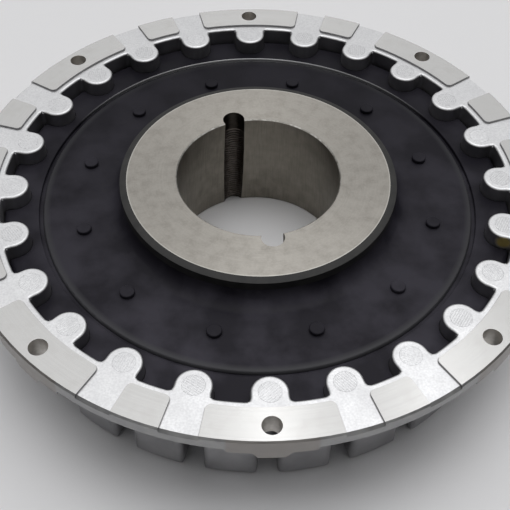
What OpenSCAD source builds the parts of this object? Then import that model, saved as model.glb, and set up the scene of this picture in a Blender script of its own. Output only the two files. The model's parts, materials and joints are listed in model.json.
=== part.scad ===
// Flexible flywheel coupling. A die-cast ring bolts to the flywheel, a rubber disc plugs its
// teeth into the ring's cups, and a taper-bored hub is bonded into the disc and takes the shaft.
// Sizes are in millimetres. The shaft axis is +Z, and the hub and the cups stand on z = 0.

/* [Flywheel flange] */
// Outside diameter, which centres the ring in the flywheel
flange_d = 352.4; // [346:0.1:364]
// Thickness of the flange at its machined pads
flange_t = 8; // [6:0.5:10]
// Chamfer on the outer edge of the pads
pilot_chamfer = 1; // [0.4:0.1:2]
// Width of the bevel at the outer end of each cast lane
lane_edge_w = 1.6; // [0.5:0.1:3]
// Drop of that bevel
lane_edge_h = 1.6; // [0.3:0.1:2.5]
// Distance of the bolt circle from the outside edge
bolt_edge = 9.5; // [8:0.1:12]
// Diameter of the flywheel bolt holes
bolt_hole_d = 10.5; // [8:0.1:13]
// Number of flywheel bolts
bolt_count = 8; // [6:1:9]

/* [Machined pads] */
// Height of the machined pads above the cast surface
pad_h = 1.2; // [0.5:0.1:2]
// Width of the cast strip between the pockets and the pads
strip_w = 3.8; // [2.5:0.1:6]
// Angle across each cast lane between two pads
lane_deg = 6.6; // [4:0.1:8]
// Rounding of the pads' inner corners
pad_corner_r = 3; // [1:0.5:4]

/* [Bolt bosses] */
// Width of a boss where it leaves its saddle
boss_w = 19.6; // [17:0.1:24]
// Width of the boss at its foot
boss_foot_w = 14; // [13.5:0.1:16.5]
// Depth of the boss below the flange
boss_h = 6.8; // [4:0.1:10]
// Angle across the saddle that thickens the flange round a boss
saddle_deg = 15; // [9:0.5:18]
// Depth of the saddle below the flange
saddle_h = 2.5; // [1:0.1:3.5]

/* [Fingers and cups] */
// Distance of the pocket walls inside the bolt circle
pocket_inset = 14; // [11:0.1:17]
// Length of a finger from the pocket wall to its tip
finger_len = 15.5; // [13.5:0.1:18]
// Width of a finger
finger_w = 20; // [16:0.1:22]
// Rounding of the upper edges of the fingers
finger_edge_r = 1.6; // [0.5:0.1:2]
// Fillet between a finger and the pocket wall
finger_root_r = 2.5; // [1:0.1:4]
// Depth at which that fillet ends below the cast surface
finger_root_drop = 1.3; // [0.3:0.1:3]
// Thickness of the cups' outer wall
cup_wall = 4.3; // [3:0.1:5]
// Thickness of the fingers' side walls
finger_wall = 4.7; // [4:0.1:6]
// Thickness of the cup floors
cup_floor = 4.5; // [4:0.1:8]
// Reach of the cup floors inside the finger tips
cup_lip = 3; // [1:0.1:6]
// Rounding of the cups' outer edges
cup_edge_r = 4; // [1:0.1:4]
// Depth of the gaps' roofs below the flange
gap_roof_h = 1; // [0.5:0.1:3]

/* [Rubber element] */
// Clearance between the teeth and the cup walls
tooth_clear = 0.3; // [0.1:0.05:0.6]
// Rounding of the teeth's upper edges at the pocket walls
tooth_edge_r = 3.5; // [1:0.1:5]
// Depth of the rubber's top below the pads
disc_drop = 11.1; // [8:0.1:20]
// Distance of the moulded groove inside the finger tips
groove_inset = 5.4; // [3:0.1:9]
// Width of the groove between the disc and the ring of teeth
groove_w = 2; // [1:0.1:4]
// Depth of the groove
groove_h = 2.2; // [1:0.1:3.5]
// Rounding of the disc's edge at the groove
disc_edge_r = 3.5; // [2:0.1:5]
// Rounding of the ring's edge at the groove
groove_lip_r = 0.6; // [0.2:0.1:1]
// Fillet where the rubber is bonded to the hub
bond_fillet_r = 4; // [1:0.5:8]
// Height of the recess under the disc
recess_h = 3.5; // [1:0.1:10]
// Number of moulded pips on the disc
pip_count = 12; // [6:1:24]
// Distance of the pips' centres inside the groove
pip_inset = 25.1; // [15:0.1:35]
// Diameter of a pip
pip_d = 8.6; // [5:0.1:12]
// Height of a pip
pip_h = 2.4; // [1.6:0.1:5]
// Rounding of a pip's top edge
pip_edge_r = 0.8; // [0.3:0.1:1.5]

/* [Hub] */
// Outside diameter of the hub
hub_d = 165.2; // [155:0.1:175]
// Length of the hub along the shaft
hub_len = 76.2; // [70:0.1:90]
// Height of the hub's face above the pads
hub_stand = 5.4; // [2:0.1:10]
// Width of the bevel round each end face
bevel_w = 4; // [1:0.1:6]
// Drop of the bevel
bevel_h = 1.2; // [0.5:0.1:4]
// Bore diameter at the large end of the taper
bore_large_d = 108; // [95:0.1:118]
// Taper of the bore on each side, in degrees
taper_deg = 4; // [2:0.1:6]
// Chamfer at both mouths of the bore
bore_chamfer = 0.6; // [0.2:0.1:1.5]
// Diameter of the half-holes for the bush screws
screw_hole_d = 13.5; // [8:0.1:18]
// Distance of the half-holes' axes outside the small end of the bore
screw_inset = 2.2; // [1:0.1:4]
// Angles of the half-holes, counted from the front of the coupling
screw_angles = [7, 195.5]; // [0:0.5:359.5]

/* [Hidden] */
$fn = 96;

// How far joining and cutting shapes run past the faces that they meet
overrun = 1;
// Steps of the rounded corners and of the inner edge in the plan of a pad
pad_corner_steps = 6;
pad_step_deg = 1.5;

// Every third finger lies on a bolt, and the other fingers carry the cast lanes
fingers_per_bolt = 3;
finger_count = fingers_per_bolt * bolt_count;
finger_pitch = 360 / finger_count;
bolt_pitch = 360 / bolt_count;
pip_pitch = 360 / pip_count;

flange_r = flange_d / 2;
bolt_r = flange_r - bolt_edge;
pocket_r = bolt_r - pocket_inset;
pad_r = pocket_r + strip_w;
cup_r = pocket_r + cup_wall;
tip_end_r = pocket_r - finger_len;
tip_r = finger_w / 2;
tip_centre_r = tip_end_r + tip_r;
lip_r = tip_end_r - cup_lip;
gap_w = finger_w - 2 * finger_wall;
groove_r = tip_end_r - groove_inset;
disc_r = groove_r - groove_w;
pip_r = groove_r - pip_inset;

pad_z = hub_len - hub_stand;
cast_z = pad_z - pad_h;
flange_z = pad_z - flange_t;
boss_z = flange_z - boss_h;
saddle_z = flange_z - saddle_h;
gap_z = flange_z - gap_roof_h;
disc_z = pad_z - disc_drop;
groove_z = disc_z - groove_h;
recess_z = cup_floor + recess_h;

hub_r = hub_d / 2;
bore_large_r = bore_large_d / 2;
bore_small_r = bore_large_r - hub_len * tan(taper_deg);
screw_r = bore_small_r + screw_inset;

// Repeats its children round the axis, with the first at the given angle from the front
module around(count, first = 0) {
    for (i = [0 : count - 1]) rotate([0, 0, first + 360 * i / count]) children();
}

// Upright rectangle on the first axis with its upper outer corner rounded
module rounded_block(width, low, high, edge_r) {
    translate([0, low]) square([width, high - edge_r - low]);
    translate([0, low]) square([width - edge_r, high - low]);
    translate([width - edge_r, high - edge_r]) circle(r = edge_r);
}

// Corner that a fillet leaves between a straight flank and the round wall beyond it
module fillet_corner(flank_x, wall_r, fillet_r) {
    centre_x = flank_x + fillet_r;
    centre_y = -sqrt(pow(wall_r - fillet_r, 2) - pow(centre_x, 2));
    reach = (wall_r + overrun) / (wall_r - fillet_r);
    difference() {
        polygon([
            [flank_x - overrun, centre_y],
            [centre_x, centre_y],
            [centre_x * reach, centre_y * reach],
            [flank_x - overrun, centre_y * reach]
        ]);
        translate([centre_x, centre_y]) circle(r = fillet_r);
    }
}

// The same corner on both sides of the front finger
module fillet_corners(flank_x, wall_r, fillet_r) {
    for (side = [0, 1]) mirror([side, 0]) fillet_corner(flank_x, wall_r, fillet_r);
}

// Bar from the centre of the finger tip out to a radius, with a round inner end
module round_bar(half_w, outer_r) {
    translate([0, -tip_centre_r]) circle(r = half_w);
    translate([-half_w, -outer_r]) square([2 * half_w, outer_r - tip_centre_r]);
}

// Plan of the front finger, or of the room that a clearance leaves round it
module finger_plan(clear = 0) {
    round_bar(tip_r + clear, pocket_r + overrun);
    fillet_corners(tip_r + clear, pocket_r - clear, finger_root_r - clear);
}

// Sector of a flat ring, centred on the front
module ring_sector(half_deg, inner_r, outer_r) {
    side = 2 * outer_r;
    difference() {
        intersection() {
            circle(r = outer_r);
            polygon([
                [0, 0],
                [-side * sin(half_deg), -side * cos(half_deg)],
                [side * sin(half_deg), -side * cos(half_deg)]
            ]);
        }
        circle(r = inner_r);
    }
}

// Points along an arc, with angles counted from the front
function arc_points(centre, r, from_deg, to_deg, steps) = [
    for (i = [0 : steps])
        let (a = from_deg + (to_deg - from_deg) * i / steps)
        centre + r * [sin(a), -cos(a)]
];

// Plan of a machined pad that spans the given angle to each side of the front
module pad_plan(half_deg) {
    side_r = (flange_r + overrun) / cos(half_deg);
    corner_centre_r = pad_r + pad_corner_r;
    corner_deg = half_deg - asin(pad_corner_r / corner_centre_r);
    centre = corner_centre_r * [sin(corner_deg), -cos(corner_deg)];
    right = concat(
        [side_r * [sin(half_deg), -cos(half_deg)]],
        arc_points(centre, pad_corner_r, half_deg + 90, corner_deg + 180, pad_corner_steps)
    );
    left = [for (i = [len(right) - 1 : -1 : 0]) [-right[i].x, right[i].y]];
    inner_steps = ceil(2 * corner_deg / pad_step_deg);
    inner = arc_points([0, 0], pad_r, corner_deg, -corner_deg, inner_steps);
    polygon(concat(right, [for (i = [1 : inner_steps - 1]) inner[i]], left));
}

// Upper part of the front finger, as high as the flange and with a rounded top edge
module finger_cap() {
    translate([0, -tip_centre_r, 0]) {
        rotate_extrude(angle = 180) rounded_block(tip_r, flange_z, cast_z, finger_edge_r);
        rotate([90, 0, 0]) linear_extrude(pocket_r + finger_edge_r + overrun - tip_centre_r) {
            for (side = [0, 1]) {
                mirror([side, 0]) rounded_block(tip_r, flange_z, cast_z, finger_edge_r);
            }
        }
    }
    translate([0, 0, flange_z]) linear_extrude(cast_z - finger_root_drop - flange_z) {
        fillet_corners(tip_r, pocket_r, finger_root_r);
    }
}

// The flange's cast ring, rounded at the top of the pocket walls and bevelled at its outer edge
module flange_ring() {
    outer_r = flange_r + 3 * overrun;
    rotate_extrude() difference() {
        translate([outer_r, 0]) mirror([1, 0]) {
            rounded_block(outer_r - pocket_r, flange_z, cast_z, finger_edge_r);
        }
        translate([flange_r, cast_z]) polygon([
            [-2 * lane_edge_w, lane_edge_h],
            [outer_r, lane_edge_h],
            [outer_r, -lane_edge_h * (1 + outer_r / lane_edge_w)]
        ]);
    }
}

// Long pads over the bolts, and short pads halfway between them
module pads() {
    low = cast_z - lane_edge_h - overrun;
    translate([0, 0, low]) linear_extrude(pad_z + overrun - low) {
        around(bolt_count) pad_plan(finger_pitch - lane_deg / 2);
        around(bolt_count, bolt_pitch / 2) pad_plan((finger_pitch - lane_deg) / 2);
    }
}

// Boss and saddle under the front bolt, run past the flange's edge to be turned flush with it
module bolt_boss() {
    inner_r = cup_r - overrun;
    outer_r = flange_r + 2 * overrun;
    translate([0, -inner_r, 0]) rotate([90, 0, 0]) linear_extrude(outer_r - inner_r) polygon([
        [-boss_w / 2, flange_z + overrun],
        [-boss_w / 2, saddle_z],
        [-boss_foot_w / 2, boss_z],
        [boss_foot_w / 2, boss_z],
        [boss_w / 2, saddle_z],
        [boss_w / 2, flange_z + overrun]
    ]);
    translate([0, 0, saddle_z]) linear_extrude(saddle_h + overrun) {
        ring_sector(saddle_deg / 2, inner_r, outer_r);
    }
}

// Turned envelope of the flange: faced at the pads, and chamfered at its outer edge
module turned_blank() {
    rotate_extrude() polygon([
        [0, boss_z - overrun],
        [flange_r, boss_z - overrun],
        [flange_r, pad_z - pilot_chamfer],
        [flange_r - pilot_chamfer, pad_z],
        [0, pad_z]
    ]);
}

// Gap under the front finger, which opens outwards and parts two cups
module cup_gap() {
    half_w = gap_w / 2;
    translate([0, 0, -overrun]) linear_extrude(gap_z + overrun) {
        round_bar(half_w, cup_r + overrun);
        fillet_corners(half_w, cup_r, cup_edge_r);
    }
    translate([0, -tip_centre_r, 0]) {
        rotate_extrude(angle = 180) bottom_corner(half_w);
        rotate([90, 0, 0]) linear_extrude(cup_r + overrun - tip_centre_r) {
            for (side = [0, 1]) mirror([side, 0]) bottom_corner(half_w);
        }
    }
}

// Section of what rounding takes off a bottom edge that starts at the given place
module bottom_corner(edge_x) {
    difference() {
        translate([edge_x - overrun, -overrun]) square(cup_edge_r + overrun);
        translate([edge_x + cup_edge_r, cup_edge_r]) circle(r = cup_edge_r);
    }
}

// Ring of closed cups between the hollow fingers, all walls and floors cast together
module cups() {
    difference() {
        union() {
            linear_extrude(flange_z + overrun) {
                difference() {
                    circle(r = cup_r);
                    circle(r = pocket_r);
                }
                around(finger_count) finger_plan();
            }
            rotate_extrude() translate([lip_r, 0]) square([cup_r - lip_r, cup_floor]);
        }
        around(finger_count) cup_gap();
        rotate_extrude() translate([cup_r, 0]) mirror([1, 0]) bottom_corner(0);
    }
}

// Die-cast aluminium ring: flange, pads, fingers, cups and bolt bosses in one piece
module outer_ring() {
    color([0.83, 0.83, 0.82]) difference() {
        union() {
            intersection() {
                turned_blank();
                union() {
                    flange_ring();
                    pads();
                    around(bolt_count) bolt_boss();
                }
            }
            around(finger_count) finger_cap();
            cups();
        }
        around(bolt_count) translate([0, -bolt_r, boss_z - overrun]) {
            cylinder(d = bolt_hole_d, h = boss_h + flange_t + 2 * overrun);
        }
    }
}

// Half section of the ring that the teeth are cut from, rounded at the groove and at the pockets
module tooth_section() {
    low = cup_floor - overrun;
    flat_r = groove_r + groove_lip_r;
    translate([flat_r, 0]) rounded_block(pocket_r - flat_r, low, disc_z, tooth_edge_r);
    translate([flat_r + groove_lip_r, 0]) mirror([1, 0]) {
        rounded_block(2 * groove_lip_r, low, disc_z, groove_lip_r);
    }
}

// Half section of the disc, with the web under the groove and a fillet up the hub
module disc_section() {
    translate([hub_r, 0]) rounded_block(disc_r - hub_r, recess_z, disc_z, disc_edge_r);
    translate([hub_r, recess_z]) square([groove_r + overrun - hub_r, groove_z - recess_z]);
    translate([hub_r, disc_z - overrun]) difference() {
        square([bond_fillet_r, bond_fillet_r + overrun]);
        translate([bond_fillet_r, bond_fillet_r + overrun]) circle(r = bond_fillet_r);
    }
}

// Moulded pip, standing on the disc
module pip() {
    translate([0, 0, disc_z - overrun]) rotate_extrude() {
        rounded_block(pip_d / 2, 0, pip_h + overrun, pip_edge_r);
    }
}

// Moulded rubber disc whose outer teeth fill the cups and stand on their floors
module rubber_element() {
    color([0.16, 0.16, 0.17]) {
        intersection() {
            rotate_extrude() tooth_section();
            translate([0, 0, cup_floor]) linear_extrude(disc_z - cup_floor + overrun) difference() {
                circle(r = pocket_r - tooth_clear);
                around(finger_count) finger_plan(tooth_clear);
            }
        }
        rotate_extrude() disc_section();
        around(pip_count, pip_pitch / 2) translate([0, -pip_r, 0]) pip();
    }
}

// Steel hub with a taper bore for a shaft bush, and half-holes for the screws of the bush
module hub() {
    mouth_r = bore_chamfer * (1 - tan(taper_deg));
    throat_r = bore_chamfer * (1 + tan(taper_deg));
    color([0.62, 0.61, 0.58]) difference() {
        rotate_extrude() polygon([
            [bore_small_r + throat_r, hub_len],
            [hub_r - bevel_w, hub_len],
            [hub_r, hub_len - bevel_h],
            [hub_r, bevel_h],
            [hub_r - bevel_w, 0],
            [bore_large_r + mouth_r, 0],
            [bore_large_r - bore_chamfer * tan(taper_deg), bore_chamfer],
            [bore_small_r + bore_chamfer * tan(taper_deg), hub_len - bore_chamfer]
        ]);
        for (angle = screw_angles) rotate([0, 0, angle]) translate([0, -screw_r, -overrun]) {
            cylinder(d = screw_hole_d, h = hub_len + 2 * overrun);
        }
    }
}

outer_ring();
rubber_element();
hub();
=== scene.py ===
import json
import math

import bmesh
import bpy
from mathutils import Matrix, Vector


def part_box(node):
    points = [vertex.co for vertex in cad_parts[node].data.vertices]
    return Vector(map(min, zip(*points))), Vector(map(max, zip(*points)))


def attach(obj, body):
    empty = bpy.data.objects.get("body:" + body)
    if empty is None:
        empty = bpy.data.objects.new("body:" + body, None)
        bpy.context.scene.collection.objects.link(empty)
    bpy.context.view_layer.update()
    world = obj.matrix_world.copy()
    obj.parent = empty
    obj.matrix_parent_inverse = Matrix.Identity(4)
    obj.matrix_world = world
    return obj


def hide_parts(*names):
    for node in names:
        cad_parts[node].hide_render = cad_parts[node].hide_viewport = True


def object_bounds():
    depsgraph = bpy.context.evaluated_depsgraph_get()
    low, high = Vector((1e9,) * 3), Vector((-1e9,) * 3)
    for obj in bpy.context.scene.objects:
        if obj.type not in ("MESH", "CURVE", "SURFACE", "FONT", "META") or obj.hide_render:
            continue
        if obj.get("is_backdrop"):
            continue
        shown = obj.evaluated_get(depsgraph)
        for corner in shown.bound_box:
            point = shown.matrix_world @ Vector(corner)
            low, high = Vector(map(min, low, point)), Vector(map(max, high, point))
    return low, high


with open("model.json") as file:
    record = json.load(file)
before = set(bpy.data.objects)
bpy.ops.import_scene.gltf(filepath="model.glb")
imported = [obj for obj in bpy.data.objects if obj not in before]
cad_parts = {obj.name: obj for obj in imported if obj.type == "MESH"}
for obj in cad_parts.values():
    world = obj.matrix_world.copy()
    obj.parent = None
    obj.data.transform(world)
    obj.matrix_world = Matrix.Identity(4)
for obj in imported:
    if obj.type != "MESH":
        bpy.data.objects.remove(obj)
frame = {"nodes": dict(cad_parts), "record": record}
cad_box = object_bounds()
scene = bpy.context.scene
scene.view_settings.view_transform = "Standard"

# The outer ring is one aluminium die casting: a bolting flange, fingers that point inwards and closed
# cups. Its skin is bright from the die, with a dab of yellow marking paint on one finger. The pads, the
# rim and the bolt holes are machined after casting.
mm = 0.001
mounts = {mount["name"]: mount for mount in frame["record"]["mounts"]}
flange_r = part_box("outer_ring")[1].x
bolts = mounts["flywheel_bolts"]["dims"]
bolt_circle_r = bolts["pcd_mm"] / 2 * mm
bolt_hole_r = bolts["hole_r_mm"] * mm
bolt_count = bolts["count"]
pad_z = mounts["flywheel_face"]["pos_m"][2]
pad_h = 1.2 * mm
pad_r = 156.5 * mm
pad_corner_r = 3 * mm
cast_z = pad_z - pad_h
top_depth = 4 * mm
lane_angle = math.radians(6.6)
lane_share = 1 / 3
lane_edge_w = 1.6 * mm
finger_count = 3 * bolt_count
finger_w = 20 * mm
finger_edge_r = 1.6 * mm
root_r = 2.5 * mm
root_reach = 8 * mm
root_steps = 6
root_slack = 0.01
pocket_r = 152.7 * mm
boss_share = 0.16
boss_fade = 0.012
# Where the painted shade at the pads' foot is full and where it has faded out
foot_shade_near = 0.2 * mm
foot_shade_far = 0.7 * mm
paint_place = Vector((140, -47.9, 65)) * mm
paint_r = 3 * mm
paint_end_r = 5.5 * mm
seam_gap = 0.002 * mm
cut_gap = 0.001 * mm
face_slack = 0.25 * mm
smooth_below = math.radians(32)
upright_below = 0.2
sloping_above = 0.5
level_above = 0.9


def mark_sharp(shape):
    """Keeps the shading smooth over rounded stretches only."""
    for edge in shape.edges:
        edge.smooth = edge.calc_face_angle(0) < smooth_below


def solid_copy(node, name):
    """A copy of a solid, in its place, with its seams merged and its rounded stretches shaded smooth."""
    mesh = frame["nodes"][node].data.copy()
    mesh.name = name
    mesh.materials.clear()
    shape = bmesh.new()
    shape.from_mesh(mesh)
    bmesh.ops.remove_doubles(shape, verts=shape.verts, dist=seam_gap)
    for face in shape.faces:
        face.smooth = True
    mark_sharp(shape)
    shape.to_mesh(mesh)
    shape.free()
    for layer in [a.name for a in mesh.attributes if a.name in ("custom_normal", "UVMap")]:
        mesh.attributes.remove(mesh.attributes[layer])
    piece = bpy.data.objects.new(name, mesh)
    scene.collection.objects.link(piece)
    flat_faces = piece.modifiers.new("flat_faces", "WEIGHTED_NORMAL")
    flat_faces.keep_sharp = True
    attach(piece, "root")
    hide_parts(node)
    return piece


def give_finishes(piece, finishes, choose):
    """Gives each face one of the finishes, by a rule on the face's middle and normal."""
    for finish in finishes:
        piece.data.materials.append(finish)
    order = {finish.name: index for index, finish in enumerate(finishes)}
    for face in piece.data.polygons:
        face.material_index = order[choose(face.center, face.normal).name]


def put(tree, kind, sockets=None, **fields):
    """Adds a node, sets its fields, and links or sets the sockets that are named."""
    node = tree.nodes.new(kind)
    for field, value in fields.items():
        setattr(node, field, value)
    for socket, value in (sockets or {}).items():
        if isinstance(value, bpy.types.NodeSocket):
            tree.links.new(value, node.inputs[socket])
        else:
            node.inputs[socket].default_value = value
    return node


def reckon(tree, operation, *values):
    """Works out a number from others, each a socket or a plain number."""
    return put(tree, "ShaderNodeMath", dict(enumerate(values)), operation=operation).outputs[0]


def spread(tree, value, low, high, to_low, to_high, course="LINEAR"):
    """Maps a value from one range to another, without running past it."""
    sockets = dict(enumerate((value, low, high, to_low, to_high)))
    return put(tree, "ShaderNodeMapRange", sockets, clamp=True, interpolation_type=course).outputs[0]


def mixed(tree, share, first, second):
    """Lays a share of the second colour over the first, each a socket or three numbers."""
    sockets = {"Factor": share}
    for place, colour in ((6, first), (7, second)):
        sockets[place] = (*colour, 1) if isinstance(colour, tuple) else colour
    return put(tree, "ShaderNodeMix", sockets, data_type="RGBA").outputs[2]


def sidewise(tree, place):
    """The part of a place or direction that is square to the shaft."""
    return put(tree, "ShaderNodeVectorMath", {0: place, 1: (1, 1, 0)}, operation="MULTIPLY").outputs[0]


def length_of(tree, line):
    return put(tree, "ShaderNodeVectorMath", {0: line}, operation="LENGTH").outputs["Value"]


def own_place(tree):
    """A point's place on the piece, which is its place on the coupling."""
    return put(tree, "ShaderNodeTexCoord").outputs["Object"]


def new_group(name, inputs, outputs):
    """A shader group with its named inputs and the node that takes its outputs."""
    group = bpy.data.node_groups.new(name, "ShaderNodeTree")
    for label, value in inputs.items():
        socket = group.interface.new_socket(label, in_out="INPUT", socket_type="NodeSocketFloat")
        socket.default_value = value
    for label in outputs:
        group.interface.new_socket(label, in_out="OUTPUT", socket_type="NodeSocketFloat")
    return group, group.nodes.new("NodeGroupInput").outputs, group.nodes.new("NodeGroupOutput")


# Where a point lies round the shaft: its radius, its angle from the front and its height
polar_place, _, end = new_group("polar_place", {}, ["Radius", "Angle", "Height"])
place = own_place(polar_place)
parts = put(polar_place, "ShaderNodeSeparateXYZ", {0: place}).outputs
polar_place.links.new(length_of(polar_place, sidewise(polar_place, place)), end.inputs["Radius"])
turn = reckon(polar_place, "ARCTAN2", parts["X"], reckon(polar_place, "MULTIPLY", parts["Y"], -1))
polar_place.links.new(turn, end.inputs["Angle"])
polar_place.links.new(parts["Z"], end.inputs["Height"])


def polar_of(tree):
    return put(tree, "ShaderNodeGroup", node_tree=polar_place).outputs


# Cloudy patches of a given size, for skins that aren't even
cloud, given, end = new_group("cloud", {"Size": 10 * mm, "Detail": 3}, ["Cloud"])
scale = reckon(cloud, "DIVIDE", 1, given["Size"])
sockets = {"Vector": own_place(cloud), "Scale": scale, "Detail": given["Detail"]}
cloud.links.new(put(cloud, "ShaderNodeTexNoise", sockets).outputs["Fac"], end.inputs["Cloud"])


def clouds(tree, size, detail=3):
    return put(tree, "ShaderNodeGroup", {"Size": size, "Detail": detail}, node_tree=cloud).outputs[0]


def over_cloud(tree, patches, first, second):
    """Goes from one value to another over the range in which most of a cloud lies."""
    return spread(tree, patches, 0.3, 0.7, first, second)


# Fine rings that a lathe leaves on a face square to the shaft
lathe_rings, given, end = new_group("lathe_rings", {"Pitch": 0.8 * mm, "Fade": 25}, ["Ring"])
parts = put(lathe_rings, "ShaderNodeSeparateXYZ", {0: own_place(lathe_rings)}).outputs
drawn = put(lathe_rings, "ShaderNodeCombineXYZ", {
    0: reckon(lathe_rings, "DIVIDE", polar_of(lathe_rings)["Radius"], given["Pitch"]),
    1: reckon(lathe_rings, "MULTIPLY", parts["X"], given["Fade"]),
    2: reckon(lathe_rings, "MULTIPLY", parts["Y"], given["Fade"]),
}).outputs[0]
rings = put(lathe_rings, "ShaderNodeTexNoise", {"Vector": drawn, "Scale": 1, "Detail": 2})
lathe_rings.links.new(rings.outputs["Fac"], end.inputs["Ring"])


def rings_of(tree, pitch, fade):
    return put(tree, "ShaderNodeGroup", {"Pitch": pitch, "Fade": fade}, node_tree=lathe_rings).outputs[0]


def new_finish(name, **values):
    """A material, with the given values on its shader's own sockets."""
    finish = bpy.data.materials.new(name)
    finish.use_nodes = True
    shader = finish.node_tree.nodes["Principled BSDF"]
    for socket, value in values.items():
        shader.inputs[socket.replace("_", " ")].default_value = value
    return finish, finish.node_tree, shader


def feed(tree, shader, **sockets):
    """Links what changes over the surface to the shader's sockets."""
    for socket, value in sockets.items():
        tree.links.new(value, shader.inputs[socket.replace("_", " ")])


def bumped(tree, height, strength, distance):
    sockets = {"Height": height, "Strength": strength, "Distance": distance}
    return put(tree, "ShaderNodeBump", sockets).outputs[0]


def patchy_finish(name, size, detail, tones, roughness, **values):
    """A finish in cloudy patches, from the first tone and roughness to the second."""
    finish, tree, shader = new_finish(name, **values)
    patch = clouds(tree, size, detail)
    tone = mixed(tree, over_cloud(tree, patch, 0, 1), *tones)
    feed(tree, shader, Base_Color=tone, Roughness=over_cloud(tree, patch, *roughness))
    return finish, tree, shader, tone


# Painted shade: a dark line at the foot of the machined pads, by the distance from a pad's rounded outline
sizes = {"Pad Radius": pad_r, "Lane": lane_angle, "Corner": pad_corner_r, "Bolts": bolt_count}
pad_foot, given, end = new_group("pad_foot", sizes, ["Line"])
polar = polar_of(pad_foot)
turns = reckon(pad_foot, "DIVIDE", reckon(pad_foot, "MULTIPLY", polar["Angle"], given["Bolts"]), math.tau)
from_bolt = reckon(pad_foot, "PINGPONG", turns, 0.5)
from_lane = reckon(pad_foot, "ABSOLUTE", reckon(pad_foot, "SUBTRACT", from_bolt, lane_share))
from_lane = reckon(pad_foot, "DIVIDE", reckon(pad_foot, "MULTIPLY", from_lane, math.tau), given["Bolts"])
inside = reckon(pad_foot, "SUBTRACT", from_lane, reckon(pad_foot, "MULTIPLY", given["Lane"], 0.5))
inside = reckon(pad_foot, "MULTIPLY", inside, polar["Radius"])
side = reckon(pad_foot, "MAXIMUM", reckon(pad_foot, "SUBTRACT", given["Corner"], inside), 0)
corner_out = reckon(pad_foot, "ADD", given["Pad Radius"], given["Corner"])
inner = reckon(pad_foot, "MAXIMUM", reckon(pad_foot, "SUBTRACT", corner_out, polar["Radius"]), 0)
square = reckon(pad_foot, "MULTIPLY_ADD", side, side, reckon(pad_foot, "MULTIPLY", inner, inner))
gap = reckon(pad_foot, "SUBTRACT", reckon(pad_foot, "SQRT", square), given["Corner"])
pad_foot.links.new(spread(pad_foot, gap, foot_shade_near, foot_shade_far, 1, 0), end.inputs["Line"])

cast_top, tree, shader = new_finish("cast_top", Metallic=1)
grain = clouds(tree, 1.1 * mm, 2)
patch = clouds(tree, 14 * mm)
tone = mixed(tree, over_cloud(tree, grain, 0, 1), (0.6, 0.602, 0.614), (0.73, 0.733, 0.744))
tone = mixed(tree, spread(tree, patch, 0.35, 0.7, 0, 0.35), tone, (0.53, 0.53, 0.543))
# The cast top is darkened along the foot of each pad: painted shade.
line = put(tree, "ShaderNodeGroup", node_tree=pad_foot).outputs["Line"]
tone = mixed(tree, reckon(tree, "MULTIPLY", line, 0.75), tone, (0.2, 0.195, 0.19))
feed(tree, shader, Base_Color=tone, Roughness=over_cloud(tree, patch, 0.29, 0.42))
feed(tree, shader, Normal=bumped(tree, grain, 0.3, 0.1 * mm))

# The walls and cups take a darker copy of the cast skin than the tops: painted shade.
tones = [(0.33, 0.327, 0.338), (0.44, 0.437, 0.446)]
shaded_cast_wall, tree, shader, tone = patchy_finish("shaded_cast_wall", 18 * mm, 3, tones, (0.36, 0.46), Metallic=1)
sockets = {0: own_place(tree), 1: paint_place}
away = put(tree, "ShaderNodeVectorMath", sockets, operation="DISTANCE").outputs["Value"]
paint = spread(tree, away, paint_r, paint_end_r, 0.95, 0)
feed(tree, shader, Base_Color=mixed(tree, paint, tone, (0.42, 0.32, 0.09)))
feed(tree, shader, Metallic=reckon(tree, "SUBTRACT", 1, paint))
feed(tree, shader, Normal=bumped(tree, clouds(tree, 1.6 * mm, 2), 0.08, 0.08 * mm))

machined_pad, tree, shader = new_finish("machined_pad", Metallic=1, Roughness=0.27, Anisotropic=0.8)
ring = rings_of(tree, 0.6 * mm, 8)
patch = clouds(tree, 9 * mm)
tone = mixed(tree, over_cloud(tree, ring, 0, 1), (0.54, 0.537, 0.531), (0.565, 0.562, 0.556))
tone = mixed(tree, spread(tree, patch, 0.5, 0.75, 0, 0.4), tone, (0.49, 0.482, 0.47))
feed(tree, shader, Base_Color=tone, Tangent=sidewise(tree, own_place(tree)))

tones = [(0.3, 0.3, 0.305), (0.4, 0.398, 0.395)]
turned_rim, tree, shader, tone = patchy_finish("turned_rim", 6 * mm, 3, tones, (0.35, 0.5), Metallic=1)
# By each bolt boss the rim gets a warmer, darker tone: a painted reflection.
turns = reckon(tree, "DIVIDE", polar_of(tree)["Angle"], math.tau / bolt_count)
from_bolt = reckon(tree, "PINGPONG", turns, 0.5)
boss_reflection = spread(tree, from_bolt, boss_share, boss_share + boss_fade, 0.8, 0)
feed(tree, shader, Base_Color=mixed(tree, boss_reflection, tone, (0.3, 0.28, 0.262)))

tones = [(0.5, 0.475, 0.44), (0.68, 0.655, 0.62)]
drilled_wall, *_ = patchy_finish("drilled_wall", 3 * mm, 3, tones, (0.4, 0.55), Metallic=1)


def ring_finish(middle, normal):
    out = middle.xy.length
    angle = math.atan2(middle.x, -middle.y)
    bolt_angle = round(angle * bolt_count / math.tau) * math.tau / bolt_count
    bolt = Vector((bolt_circle_r * math.sin(bolt_angle), -bolt_circle_r * math.cos(bolt_angle)))
    if abs(normal.z) < upright_below and (middle.xy - bolt).length < bolt_hole_r + face_slack:
        return drilled_wall
    if out > flange_r - lane_edge_w and normal.z < level_above and normal.xy.length > sloping_above:
        return turned_rim
    if normal.z > level_above and middle.z > pad_z - face_slack:
        return machined_pad
    # Faces that don't look up get the darker copy of the cast skin, a painted shade.
    return cast_top if normal.z > sloping_above and middle.z > pad_z - top_depth else shaded_cast_wall


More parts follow.
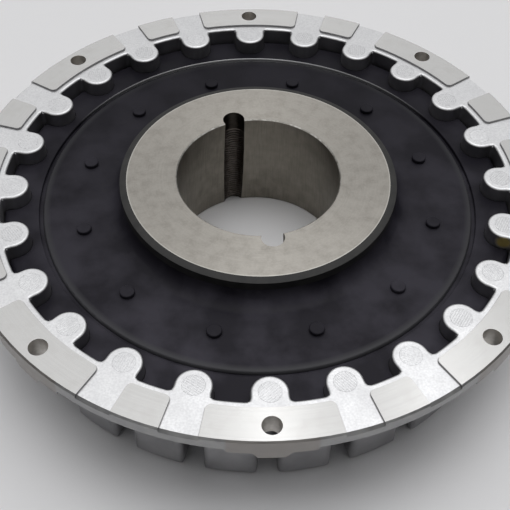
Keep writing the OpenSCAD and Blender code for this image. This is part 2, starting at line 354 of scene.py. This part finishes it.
def cut_round(shape, faces, centre, directions):
    """Cuts faces by upright planes through a centre, and gives back all the faces that come of it."""
    for across in directions:
        parts = dict.fromkeys(part for face in faces for part in (face, *face.edges, *face.verts))
        cut = bmesh.ops.bisect_plane(shape, geom=list(parts), dist=cut_gap,
                                     plane_co=centre.to_3d(), plane_no=across.to_3d())
        faces = [part for part in cut["geom"] if isinstance(part, bmesh.types.BMFace)]
    return faces


def blend_roots(piece):
    """Carries the fingers' rounded top edges through the fillets at their roots."""
    shape = bmesh.new()
    shape.from_mesh(piece.data)
    centre_x = finger_w / 2 + root_r
    centre_out = math.sqrt((pocket_r - root_r) ** 2 - centre_x ** 2)
    sweep = math.pi / 2 + math.atan2(centre_x, centre_out)
    steps = [sweep * step / root_steps for step in range(root_steps + 1)]
    edge_z = cast_z - finger_edge_r
    top_z = cast_z + face_slack
    rounding = [v for v in shape.verts if edge_z - finger_edge_r < v.co.z < top_z]
    roots = [(finger, side) for finger in range(finger_count) for side in (-1, 1)]
    for finger, side in roots:
        turn = Matrix.Rotation(math.tau * finger / finger_count, 2)
        centre = turn @ Vector((side * centre_x, -centre_out))
        near = [v for v in rounding if (v.co.xy - centre).length < root_reach]
        faces = dict.fromkeys(face for vert in near for face in vert.link_faces)
        directions = [turn @ Vector((side * math.sin(step), -math.cos(step))) for step in steps]
        faces = cut_round(shape, faces, centre, directions)
        for vert in dict.fromkeys(vert for face in faces for vert in face.verts):
            out = vert.co.xy - centre
            local = turn.transposed() @ out
            angle = math.atan2(-local.y, -side * local.x)
            in_sweep = -root_slack < angle < sweep + root_slack and out.length < root_reach
            if in_sweep and edge_z - face_slack < vert.co.z < top_z:
                inset = min(max(out.length - root_r, 0), finger_edge_r)
                vert.co.z = edge_z + math.sqrt(finger_edge_r ** 2 - (finger_edge_r - inset) ** 2)
    mark_sharp(shape)
    shape.to_mesh(piece.data)
    shape.free()


outer_ring = solid_copy("outer_ring", "outer_ring_skin")
blend_roots(outer_ring)
give_finishes(outer_ring, [cast_top, machined_pad, turned_rim, drilled_wall, shaded_cast_wall], ring_finish)

# Ejector pins push the casting out of its die and leave a hatched round mark on each finger's top.
# The marks are low ridges inside a thin rim, cast with the ring, and lie as each pin was turned.


def new_grower(name, inputs):
    """A tree that makes geometry from named sizes."""
    tree = bpy.data.node_groups.new(name, "GeometryNodeTree")
    for label, kind in inputs.items():
        tree.interface.new_socket(label, in_out="INPUT", socket_type="NodeSocket" + kind)
    tree.interface.new_socket("Geometry", in_out="OUTPUT", socket_type="NodeSocketGeometry")
    return tree, tree.nodes.new("NodeGroupInput").outputs


def finish_grower(tree, geometry, finish):
    """Ends a tree with plain geometry in one finish."""
    solid = put(tree, "GeometryNodeRealizeInstances", {0: geometry}).outputs[0]
    dressed = put(tree, "GeometryNodeSetMaterial", {0: solid, "Material": finish}).outputs[0]
    tree.links.new(dressed, tree.nodes.new("NodeGroupOutput").inputs[0])


def grow(name, tree, sizes):
    """Runs a tree once with the given sizes and keeps its result as a plain mesh on the part."""
    piece = bpy.data.objects.new(name, bpy.data.meshes.new(name + "_start"))
    scene.collection.objects.link(piece)
    growth = piece.modifiers.new("growth", "NODES")
    growth.node_group = tree
    for socket in tree.interface.items_tree:
        if socket.in_out == "INPUT":
            growth[socket.identifier] = sizes[socket.name]
    grown = piece.evaluated_get(bpy.context.evaluated_depsgraph_get())
    mesh = bpy.data.meshes.new_from_object(grown)
    piece.modifiers.remove(growth)
    start = piece.data
    piece.data = mesh
    bpy.data.meshes.remove(start)
    mesh.name = name
    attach(piece, "root")


def joined(tree, *parts):
    join = tree.nodes.new("GeometryNodeJoinGeometry")
    for part in parts:
        tree.links.new(part, join.inputs[0])
    return join.outputs[0]


def vector(tree, x=0.0, y=0.0, z=0.0):
    return put(tree, "ShaderNodeCombineXYZ", {0: x, 1: y, 2: z}).outputs[0]


def moved(tree, geometry, shift):
    return put(tree, "GeometryNodeTransform", {0: geometry, "Translation": shift}).outputs[0]


def round_path(tree, sides, radius):
    sockets = {"Resolution": sides, "Radius": radius}
    return put(tree, "GeometryNodeCurvePrimitiveCircle", sockets).outputs[0]


counts = ["Count", "Ridges", "Seed"]
lengths = ["Circle", "Height", "Mark Radius", "Pitch", "Ridge Radius", "Flatness", "Rim Radius"]
sockets = {**dict.fromkeys(counts, "Int"), **dict.fromkeys(lengths, "Float")}
pin_marks, given = new_grower("pin_marks", sockets)
first_x = reckon(pin_marks, "MULTIPLY", reckon(pin_marks, "SUBTRACT", 1, given["Ridges"]), given["Pitch"])
first_x = reckon(pin_marks, "MULTIPLY", first_x, 0.5)
row = put(pin_marks, "GeometryNodeMeshLine", {
    "Count": given["Ridges"],
    "Start Location": vector(pin_marks, first_x),
    "Offset": vector(pin_marks, given["Pitch"]),
}).outputs[0]
spot = put(pin_marks, "GeometryNodeInputPosition").outputs[0]
spot_x = put(pin_marks, "ShaderNodeSeparateXYZ", {0: spot}).outputs["X"]
square = reckon(pin_marks, "MULTIPLY", given["Mark Radius"], given["Mark Radius"])
left_over = reckon(pin_marks, "SUBTRACT", square, reckon(pin_marks, "MULTIPLY", spot_x, spot_x))
chord = reckon(pin_marks, "MULTIPLY", reckon(pin_marks, "SQRT", left_over), 2)
sockets = {"Vertices": 10, "Radius": given["Ridge Radius"], "Depth": 1.0}
rod = put(pin_marks, "GeometryNodeMeshCylinder", sockets).outputs["Mesh"]
rod = put(pin_marks, "GeometryNodeTransform", {0: rod, "Rotation": (math.pi / 2, 0, 0)}).outputs[0]
ridges = put(pin_marks, "GeometryNodeInstanceOnPoints", {
    "Points": row,
    "Instance": rod,
    "Scale": vector(pin_marks, 1.0, chord, given["Flatness"]),
}).outputs[0]
rim_path = round_path(pin_marks, 40, given["Mark Radius"])
rim_shape = round_path(pin_marks, 8, given["Rim Radius"])
rim = put(pin_marks, "GeometryNodeCurveToMesh", {0: rim_path, 1: rim_shape}).outputs[0]
sockets = {"Vertices": given["Count"], "Radius": given["Circle"]}
circle = put(pin_marks, "GeometryNodeMeshCircle", sockets).outputs[0]
turned = put(pin_marks, "FunctionNodeRandomValue", {2: 0.0, 3: math.pi, "Seed": given["Seed"]}).outputs[1]
marks = put(pin_marks, "GeometryNodeInstanceOnPoints", {
    "Points": circle,
    "Instance": joined(pin_marks, ridges, rim),
    "Rotation": vector(pin_marks, z=turned),
}).outputs[0]
finish_grower(pin_marks, moved(pin_marks, marks, vector(pin_marks, z=given["Height"])), cast_top)
grow("ejector_marks", pin_marks, {
    "Count": finger_count,
    "Circle": 147.2 * mm,
    "Height": cast_z,
    "Mark Radius": 6 * mm,
    "Ridges": 9,
    "Pitch": 1.3 * mm,
    "Ridge Radius": 0.3 * mm,
    "Flatness": 0.36,
    "Rim Radius": 0.1 * mm,
    "Seed": 7,
})

# The rubber element is one black moulding whose teeth plug into the ring's cups. Its faces come from a
# worn mould, so they are satin, with a pale bloom in patches. Its back is painted darker, a painted shade,
# and the disc's edge and the lip of the groove carry painted highlights.
hub_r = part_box("hub")[1].x
disc_z = pad_z - 11.1 * mm
disc_r = 129.8 * mm
disc_edge_r = 3.5 * mm
edge_share = 0.4
groove_h = 2.2 * mm
bond_fillet_r = 4 * mm
bond_growth = 2.5
# Where the painted highlight on the disc's edge starts, is full and ends
disc_edge_highlight_from_r = disc_r - 5 * mm
disc_edge_highlight_full_r = disc_r - 2 * mm
disc_edge_highlight_end_r = disc_r - 0.2 * mm
lip_r = disc_r + 2.25 * mm
lip_half_w = 0.35 * mm

moulded_rubber, tree, shader = new_finish("moulded_rubber", Specular_IOR_Level=0.08)
polar = polar_of(tree)
radius = polar["Radius"]
from_front = reckon(tree, "ABSOLUTE", polar["Angle"])
bloom = clouds(tree, 26 * mm, 5)
grain = clouds(tree, 0.9 * mm, 2)
# A pale band along the disc's rounded edge: a painted highlight.
disc_edge_highlight = spread(tree, radius, disc_edge_highlight_from_r, disc_edge_highlight_full_r, 0, 1)
disc_edge_highlight = reckon(tree, "MULTIPLY", disc_edge_highlight, reckon(tree, "LESS_THAN", radius, disc_edge_highlight_end_r))
# A pale line on the groove's lip, brightest at the back: a painted highlight.
lip_highlight = reckon(tree, "COMPARE", radius, lip_r, lip_half_w)
lip_highlight = reckon(tree, "MULTIPLY", lip_highlight, spread(tree, from_front, 2.1, 3.0, 0, 0.9))
bloomed = spread(tree, bloom, 0.4, 0.64, 0, 1)
tone = mixed(tree, bloomed, (0.017, 0.0158, 0.0212), (0.043, 0.0405, 0.0515))
tone = mixed(tree, reckon(tree, "MULTIPLY", disc_edge_highlight, 0.8), tone, (0.06, 0.06, 0.064))
# The rubber goes darker towards the back: painted shade.
tone = mixed(tree, spread(tree, from_front, 0.4, 2.6, 0, 0.7), tone, (0.006, 0.0055, 0.0085))
tone = mixed(tree, lip_highlight, tone, (0.5, 0.5, 0.51))
feed(tree, shader, Base_Color=tone, Roughness=spread(tree, bloom, 0.35, 0.7, 0.34, 0.52))
feed(tree, shader, Normal=bumped(tree, grain, 0.12, 0.05 * mm))


def shape_edges(piece):
    """Draws the disc's edge in at the groove, and carries the bond's fillet further up the hub."""
    for vert in piece.data.vertices:
        out = vert.co.xy.length
        above_groove = vert.co.z > disc_z - groove_h - face_slack
        if above_groove and disc_r - disc_edge_r - face_slack < out < disc_r + face_slack:
            vert.co.xy *= (disc_r - (disc_r - out) * edge_share) / out
        elif vert.co.z > disc_z - face_slack and out < hub_r + bond_fillet_r + face_slack:
            vert.co.xy *= (hub_r + (out - hub_r) * bond_growth) / out
            vert.co.z = disc_z + (vert.co.z - disc_z) * bond_growth


rubber = solid_copy("rubber_element", "rubber_element_skin")
shape_edges(rubber)
give_finishes(rubber, [moulded_rubber], lambda middle, normal: moulded_rubber)

# The hub is turned from steel and bonded into the rubber, with a taper bore for a shaft bush.
# The end faces are turned bright, the edge is dark from the bonding, and the bore is ground, with
# faint streaks along it.
bevel_w = 4 * mm
face_r = hub_r - bevel_w
# Where the painted highlight at the end face's outer edge starts and is full
face_edge_highlight_from_r = face_r - 0.8 * mm
face_edge_highlight_full_r = face_r - 0.3 * mm
streaks_a_radian = 45
streak_len = 16 * mm
square_below = 0.001
chamfer_above = 0.4
end_face_above = 0.99

turned_face, tree, shader = new_finish("turned_face", Metallic=1, Anisotropic=0.7)
ring = rings_of(tree, 0.7 * mm, 40)
patch = clouds(tree, 7 * mm, 4)
grain = clouds(tree, 1.2 * mm)
# A pale ring at the outer edge of the end face: a painted highlight.
face_edge_highlight = spread(tree, polar_of(tree)["Radius"], face_edge_highlight_from_r, face_edge_highlight_full_r, 0, 0.6)
tone = mixed(tree, over_cloud(tree, ring, 0, 1), (0.315, 0.299, 0.273), (0.345, 0.329, 0.301))
tone = mixed(tree, spread(tree, patch, 0.45, 0.7, 0, 0.45), tone, (0.25, 0.234, 0.21))
tone = mixed(tree, spread(tree, grain, 0.4, 0.65, 0, 0.45), tone, (0.375, 0.357, 0.327))
tone = mixed(tree, face_edge_highlight, tone, (0.6, 0.585, 0.55))
feed(tree, shader, Base_Color=tone, Roughness=over_cloud(tree, patch, 0.38, 0.48))
feed(tree, shader, Normal=bumped(tree, ring, 0.1, 0.05 * mm), Tangent=sidewise(tree, own_place(tree)))

bonded_edge, tree, shader = new_finish("bonded_edge", Specular_IOR_Level=0.33)
patch = clouds(tree, 7 * mm, 4)
tone = mixed(tree, spread(tree, patch, 0.35, 0.7, 0, 1), (0.014, 0.014, 0.014), (0.03, 0.029, 0.028))
feed(tree, shader, Base_Color=tone, Roughness=over_cloud(tree, patch, 0.5, 0.62))

tones = [(0.205, 0.187, 0.157), (0.315, 0.293, 0.252)]
ground_bore, tree, shader, tone = patchy_finish("ground_bore", 8 * mm, 4, tones, (0.35, 0.5), Metallic=1)
polar = polar_of(tree)
drawn = put(tree, "ShaderNodeCombineXYZ", {
    0: reckon(tree, "MULTIPLY", polar["Angle"], streaks_a_radian),
    1: reckon(tree, "DIVIDE", polar["Height"], streak_len),
}).outputs[0]
streak = put(tree, "ShaderNodeTexNoise", {"Vector": drawn, "Scale": 1, "Detail": 4}).outputs["Fac"]
tone = mixed(tree, spread(tree, streak, 0.45, 0.75, 0, 0.4), tone, (0.11, 0.098, 0.078))
feed(tree, shader, Base_Color=tone)

# The walls of the half-holes are given a near-black tone.
tones = [(0.035, 0.03, 0.026), (0.08, 0.07, 0.06)]
near_black_hole_wall, *_ = patchy_finish("near_black_hole_wall", 4 * mm, 4, tones, (0.3, 0.45), Metallic=1)

bright_chamfer, tree, shader = new_finish("bright_chamfer", Metallic=1, Roughness=0.32)
bare = spread(tree, clouds(tree, 2.5 * mm), 0.4, 0.65, 0, 1)
feed(tree, shader, Base_Color=mixed(tree, bare, (0.4, 0.385, 0.35), (0.78, 0.76, 0.72)))


def hub_finish(middle, normal):
    slope = abs(normal.z)
    if middle.xy.length > face_r - face_slack and slope < end_face_above:
        return bonded_edge
    if slope > end_face_above:
        return turned_face
    if slope < square_below:
        return near_black_hole_wall
    return bright_chamfer if slope > chamfer_above else ground_bore


hub = solid_copy("hub", "hub_skin")
give_finishes(hub, [turned_face, bonded_edge, ground_bore, near_black_hole_wall, bright_chamfer], hub_finish)

# The half-hole at the back of the bore is tapped for the screw that frees the bush.
# The thread is cut into the hub's wall, so its ridges run out where the hole opens into the bore.
screw_axis_r = 50.87 * mm
screw_angle = math.radians(195.5)

cut_thread, tree, shader = new_finish("cut_thread", Metallic=1, Roughness=0.34)
oil = spread(tree, clouds(tree, 5 * mm), 0.35, 0.65, 0, 1)
feed(tree, shader, Base_Color=mixed(tree, oil, (0.1, 0.085, 0.075), (0.17, 0.15, 0.135)))

lengths = ["Axis X", "Axis Y", "Radius", "Bottom", "Length", "Pitch", "Ridge", "Run Out"]
lengths += ["Bore Radius", "Taper"]
screw_thread, given = new_grower("screw_thread", dict.fromkeys(lengths, "Float"))
helix = put(screw_thread, "GeometryNodeCurveSpiral", {
    "Resolution": 60,
    "Rotations": reckon(screw_thread, "DIVIDE", given["Length"], given["Pitch"]),
    "Start Radius": given["Radius"],
    "End Radius": given["Radius"],
    "Height": given["Length"],
}).outputs[0]
foot = vector(screw_thread, given["Axis X"], given["Axis Y"], given["Bottom"])
helix = moved(screw_thread, helix, foot)
spot = put(screw_thread, "GeometryNodeInputPosition").outputs[0]
out = length_of(screw_thread, sidewise(screw_thread, spot))
height = put(screw_thread, "ShaderNodeSeparateXYZ", {0: spot}).outputs["Z"]
narrowed = reckon(screw_thread, "MULTIPLY", height, given["Taper"])
bore_r = reckon(screw_thread, "SUBTRACT", given["Bore Radius"], narrowed)
depth = reckon(screw_thread, "SUBTRACT", out, bore_r)
in_air = put(screw_thread, "FunctionNodeCompare", {0: depth, 1: 0.0}, operation="LESS_THAN").outputs[0]
helix = put(screw_thread, "GeometryNodeDeleteGeometry", {0: helix, 1: in_air}).outputs[0]
run_out = spread(screw_thread, depth, 0.0, given["Run Out"], 0.05, 1.0)
flank = round_path(screw_thread, 6, given["Ridge"])
ridge = {0: helix, 1: flank, "Scale": run_out, "Fill Caps": True}
finish_grower(screw_thread, put(screw_thread, "GeometryNodeCurveToMesh", ridge).outputs[0], cut_thread)
grow("bush_screw_thread", screw_thread, {
    "Axis X": screw_axis_r * math.sin(screw_angle),
    "Axis Y": -screw_axis_r * math.cos(screw_angle),
    "Radius": 6.75 * mm,
    "Bottom": 0.8 * mm,
    "Length": 62 * mm,
    "Pitch": 2.0 * mm,
    "Ridge": 0.6 * mm,
    "Run Out": 1.5 * mm,
    "Bore Radius": 54 * mm,
    "Taper": math.tan(math.radians(4)),
})

# The floor is a pale, slightly glossy table top that runs out of view on all sides.
# It isn't part of the coupling.
floor_half = 3.0
floor_z = -0.1 * mm

table_top, tree, shader = new_finish("table_top", Roughness=0.4)
patch = clouds(tree, 300 * mm)
feed(tree, shader, Base_Color=mixed(tree, patch, (0.73, 0.728, 0.742), (0.79, 0.788, 0.798)))

floor_mesh = bpy.data.meshes.new("table_top")
sides = ((-1, -1), (1, -1), (1, 1), (-1, 1))
corners = [(x * floor_half, y * floor_half, floor_z) for x, y in sides]
floor_mesh.from_pydata(corners, [], [(0, 1, 2, 3)])
floor_mesh.materials.append(table_top)
floor = bpy.data.objects.new("table_top", floor_mesh)
scene.collection.objects.link(floor)
floor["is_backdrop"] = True

# Soft studio light: a bright ceiling over a room that is dim in front, a pale wall behind, a lamp
# overhead, and strip lamps that run from front to back above the table. What the metal mirrors of it
# has a lighter front and a weaker lamp, so that the metal keeps its tone from every side.
strip_w = 0.07
strip_len = 1.2
strip_y = 0.5
strip_z = 1.45

world = bpy.data.worlds.new("studio")
scene.world = world
world.use_nodes = True
tree = world.node_tree
direction = put(tree, "ShaderNodeTexCoord").outputs["Generated"]
look = put(tree, "ShaderNodeSeparateXYZ", {0: direction}).outputs
mirrored = put(tree, "ShaderNodeLightPath").outputs["Is Glossy Ray"]
front_level = spread(tree, mirrored, 0, 1, 0.02, 0.7)
lamp_level = spread(tree, mirrored, 0, 1, 2.8, 0.4)
ceiling = spread(tree, look["Z"], 0.2, 1.05, 0.13, 1.28, "SMOOTHSTEP")
room = spread(tree, look["Y"], -0.7, 0.15, front_level, 1.0)
window = spread(tree, look["Y"], 0.5, 1.0, 0.0, 0.4)
overhead = spread(tree, look["Z"], 0.91, 1.0, 0.0, lamp_level)
level = reckon(tree, "MULTIPLY_ADD", ceiling, room, reckon(tree, "ADD", window, overhead))
tree.links.new(level, tree.nodes["Background"].inputs["Strength"])
tree.nodes["Background"].inputs["Color"].default_value = (1, 1, 1, 1)


def add_strip(name, x, radiance):
    """Adds a lamp over the table that looks straight down with the given brightness."""
    lamp = bpy.data.lights.new(name, "AREA")
    lamp.shape = "RECTANGLE"
    lamp.size = strip_w
    lamp.size_y = strip_len
    lamp.energy = radiance * math.pi * strip_w * strip_len
    holder = bpy.data.objects.new(name, lamp)
    scene.collection.objects.link(holder)
    holder.matrix_world = Matrix.Translation((x, strip_y, strip_z))


add_strip("middle_strip", 0.08, 2.2)
add_strip("right_strip", 0.5, 3.0)

# The camera looks down on the front of the coupling, as for a catalogue picture.
# It stands a little to the left and is tilted by a degree or so.
aim = Vector((-4.2, -58.7, 70.8)) * mm
distance = 508.1 * mm
azimuth = math.radians(-3.26)
elevation = math.radians(49.71)
roll = math.radians(1.42)

ahead = Vector((math.sin(azimuth), -math.cos(azimuth), 0))
back = ahead * math.cos(elevation) + Vector((0, 0, math.sin(elevation)))
right = Vector((math.cos(azimuth), math.sin(azimuth), 0))
up = back.cross(right)
turned_right = right * math.cos(roll) + up * math.sin(roll)
turned_up = up * math.cos(roll) - right * math.sin(roll)
eye = bpy.data.cameras.new("catalogue_camera")
eye.sensor_width = 36
eye.lens = 64.09
eye.clip_start = 0.01
camera = bpy.data.objects.new("catalogue_camera", eye)
scene.collection.objects.link(camera)
facing = Matrix((turned_right, turned_up, back)).transposed().to_4x4()
camera.matrix_world = Matrix.Translation(aim + back * distance) @ facing
scene.camera = camera

sizes = {"cad": [list(corner) for corner in cad_box], "visual": [list(corner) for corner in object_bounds()]}
